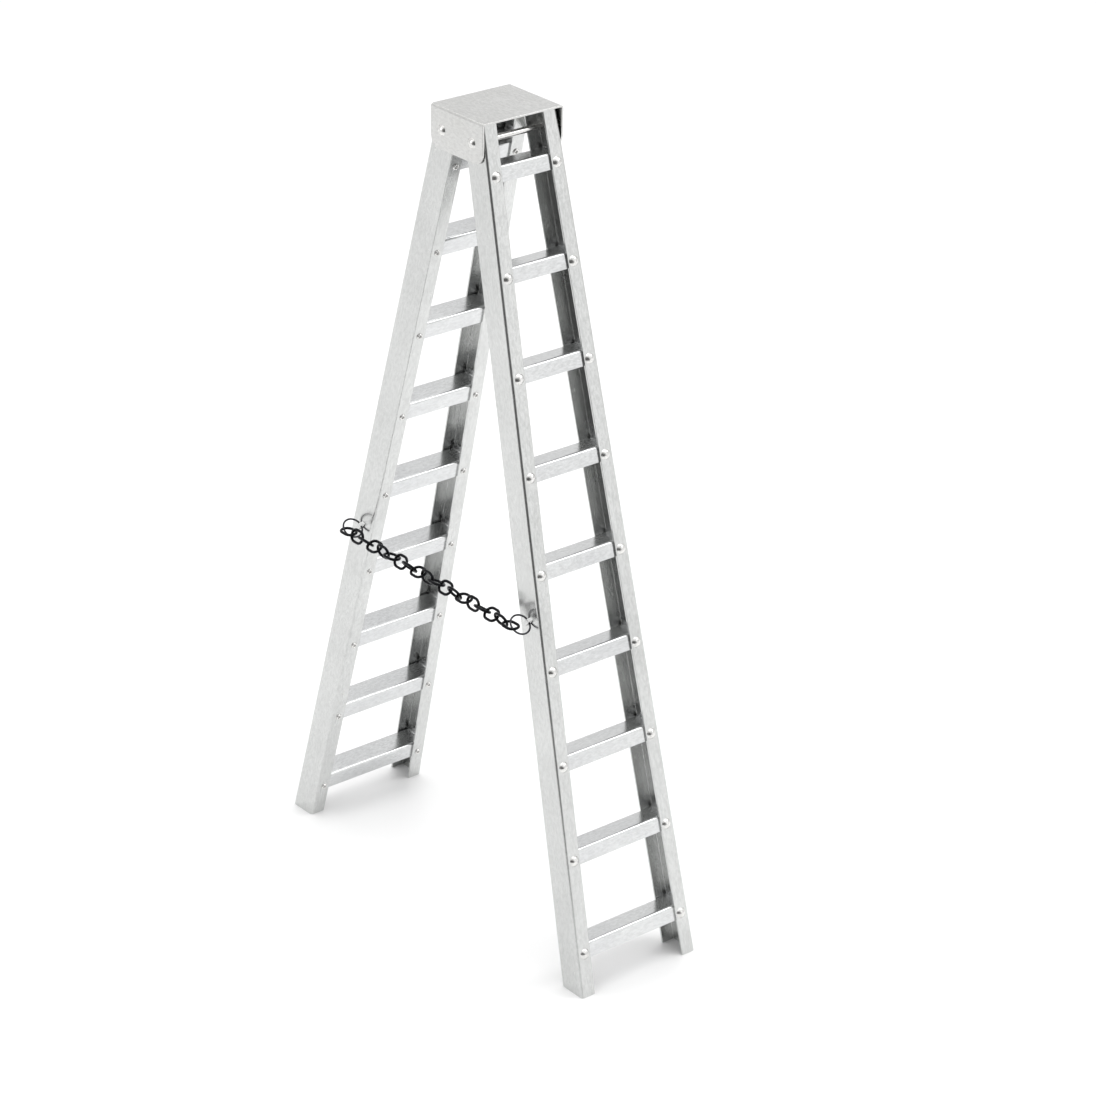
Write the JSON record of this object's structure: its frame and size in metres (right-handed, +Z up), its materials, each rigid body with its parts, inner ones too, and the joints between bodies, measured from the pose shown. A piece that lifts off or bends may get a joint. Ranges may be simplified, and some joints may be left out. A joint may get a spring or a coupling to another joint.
{
  "type": "folding step ladder",
  "caption": "Miniature double-sided folding step ladder of bent sheet metal, with riveted channel rails and treads, a cap, and a black spreader chain.",
  "frame": {"origin": "on the floor, midway between the front and rear feet and between the left and right rails", "axes": "+X to the right seen from the front, +Y from the front frame to the rear frame, +Z up; the chain is on the left, -X"},
  "size_m": [0.0336, 0.101, 0.175],
  "materials": {
    "aluminium_sheet": "satin rolled sheet",
    "aluminium_rivet": "bright",
    "steel_rod": "bright drawn",
    "ring_wire": "dark drawn wire",
    "chain": "black plated, slightly glossy"
  },
  "bodies": {
    "cap_body": {"cap": "aluminium_sheet", "front_pivot_rod": "steel_rod", "rear_pivot_rod": "steel_rod"},
    "front_frame": {"front_left_rail": "aluminium_sheet", "front_right_rail": "aluminium_sheet", "front_left_rivets": "aluminium_rivet", "front_right_rivets": "aluminium_rivet", "front_chain_ring": "ring_wire", "front_step_1": "aluminium_sheet", "front_step_2": "aluminium_sheet", "front_step_3": "aluminium_sheet", "front_step_4": "aluminium_sheet", "front_step_5": "aluminium_sheet", "front_step_6": "aluminium_sheet", "front_step_7": "aluminium_sheet", "front_step_8": "aluminium_sheet", "front_step_9": "aluminium_sheet"},
    "rear_frame": {"rear_left_rail": "aluminium_sheet", "rear_right_rail": "aluminium_sheet", "rear_left_rivets": "aluminium_rivet", "rear_right_rivets": "aluminium_rivet", "rear_chain_ring": "ring_wire", "rear_step_1": "aluminium_sheet", "rear_step_2": "aluminium_sheet", "rear_step_3": "aluminium_sheet", "rear_step_4": "aluminium_sheet", "rear_step_5": "aluminium_sheet", "rear_step_6": "aluminium_sheet", "rear_step_7": "aluminium_sheet", "rear_step_8": "aluminium_sheet", "rear_step_9": "aluminium_sheet"},
    "chain_front_run": {"chain_link_1": "chain", "chain_link_2": "chain", "chain_link_3": "chain", "chain_link_4": "chain", "chain_link_5": "chain", "chain_link_6": "chain", "chain_link_7": "chain", "chain_link_8": "chain"},
    "chain_front_corner": {"chain_link_9": "chain"},
    "chain_middle": {"chain_link_10": "chain"},
    "chain_rear_corner": {"chain_link_11": "chain"},
    "chain_rear_run": {"chain_link_12": "chain", "chain_link_13": "chain", "chain_link_14": "chain", "chain_link_15": "chain", "chain_link_16": "chain", "chain_link_17": "chain", "chain_link_18": "chain", "chain_link_19": "chain"}
  },
  "joints": [
    {"name": "front_frame_fold", "type": "hinge", "parent": "cap_body", "child": "front_frame", "pos_m": [0, -0.00475, 0.1703], "axis": [1, 0, 0], "range_deg": [0, 14], "deforming": ["chain_link_1", "chain_link_2", "chain_link_3", "chain_link_4", "chain_link_5", "chain_link_6", "chain_link_7", "chain_link_8", "chain_link_9", "chain_link_10", "chain_link_11", "chain_link_12", "chain_link_13", "chain_link_14", "chain_link_15", "chain_link_16", "chain_link_17", "chain_link_18", "chain_link_19"]},
    {"name": "rear_frame_fold", "type": "hinge", "parent": "cap_body", "child": "rear_frame", "pos_m": [0, 0.00475, 0.1703], "axis": [-1, 0, 0], "range_deg": [0, 14]},
    {"name": "chain_front_swing", "type": "hinge", "parent": "front_frame", "child": "chain_front_run", "pos_m": [-0.01673, -0.02895, 0.07685], "axis": [-1, 0, 0], "range_deg": [0, 97]},
    {"name": "chain_front_corner_turn", "type": "hinge", "parent": "chain_front_run", "child": "chain_front_corner", "pos_m": [-0.01673, -0.00484, 0.07685], "axis": [1, 0, 0], "range_deg": [0, 17.18]},
    {"name": "chain_middle_turn", "type": "hinge", "parent": "chain_front_corner", "child": "chain_middle", "pos_m": [-0.01673, -0.00119, 0.07685], "axis": [1, 0, 0], "range_deg": [0, 65.82]},
    {"name": "chain_rear_swing", "type": "hinge", "parent": "rear_frame", "child": "chain_rear_run", "pos_m": [-0.01673, 0.02895, 0.07685], "axis": [1, 0, 0], "range_deg": [0, 97]},
    {"name": "chain_rear_corner_turn", "type": "hinge", "parent": "chain_rear_run", "child": "chain_rear_corner", "pos_m": [-0.01673, 0.00484, 0.07685], "axis": [-1, 0, 0], "range_deg": [0, 17.18]}
  ],
  "couplings": [
    {"joint": "rear_frame_fold", "follows": "front_frame_fold", "ratio": 1},
    {"joint": "chain_front_swing", "follows": "front_frame_fold", "ratio": 6.9286},
    {"joint": "chain_front_corner_turn", "follows": "front_frame_fold", "ratio": 1.2271},
    {"joint": "chain_middle_turn", "follows": "front_frame_fold", "ratio": 4.7014},
    {"joint": "chain_rear_swing", "follows": "front_frame_fold", "ratio": 6.9286},
    {"joint": "chain_rear_corner_turn", "follows": "front_frame_fold", "ratio": 1.2271}
  ]
}
